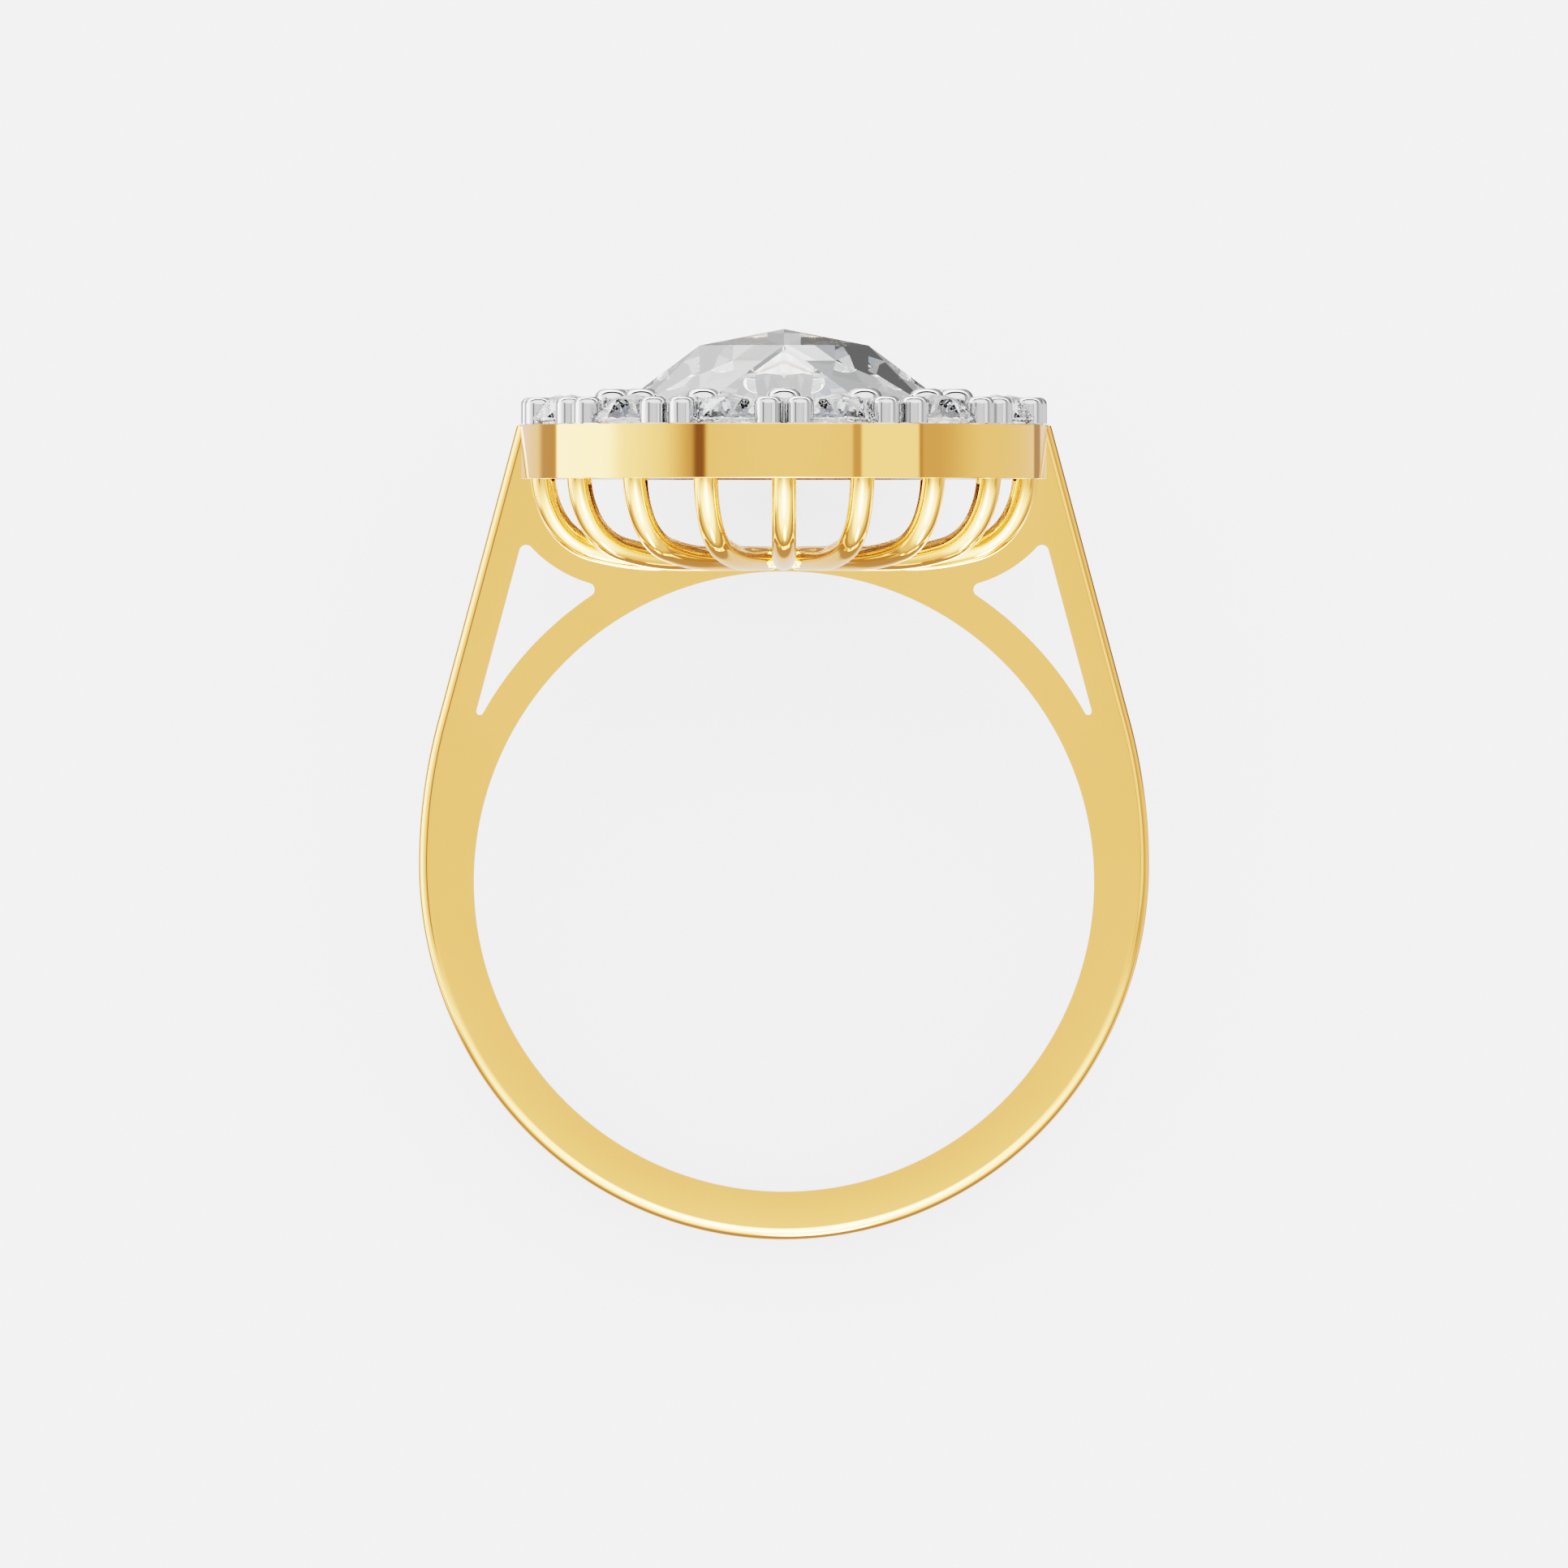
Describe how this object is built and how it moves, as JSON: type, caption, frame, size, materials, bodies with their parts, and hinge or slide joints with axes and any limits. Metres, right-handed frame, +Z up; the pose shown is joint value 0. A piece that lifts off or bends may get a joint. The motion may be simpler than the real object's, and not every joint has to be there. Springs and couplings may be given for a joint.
{
  "type": "finger ring",
  "caption": "Round cocktail ring: domed faceted centre stone in a halo of small claw-set stones, on a cage of round wires and a yellow gold band with pierced shoulders.",
  "frame": {"origin": "centre of the finger hole, in the middle of the band's width", "axes": "the ring lies on its back; +Z up from the surface it lies on, +Y towards the stones, +X across the ring; the finger hole's axis leans from +Z towards -Y by the angle at which the ring rests"},
  "size_m": [0.0204, 0.0249, 0.0148],
  "materials": {
    "yellow_gold": "polished",
    "white_gold": "polished",
    "clear_stone": "polished"
  },
  "bodies": {
    "root": {"gold_mount": "yellow_gold", "claw_setting": "white_gold", "center_stone": "clear_stone", "halo_stone_01": "clear_stone", "halo_stone_02": "clear_stone", "halo_stone_03": "clear_stone", "halo_stone_04": "clear_stone", "halo_stone_05": "clear_stone", "halo_stone_06": "clear_stone", "halo_stone_07": "clear_stone", "halo_stone_08": "clear_stone", "halo_stone_09": "clear_stone", "halo_stone_10": "clear_stone", "halo_stone_11": "clear_stone", "halo_stone_12": "clear_stone", "halo_stone_13": "clear_stone"}
  },
  "joints": []
}
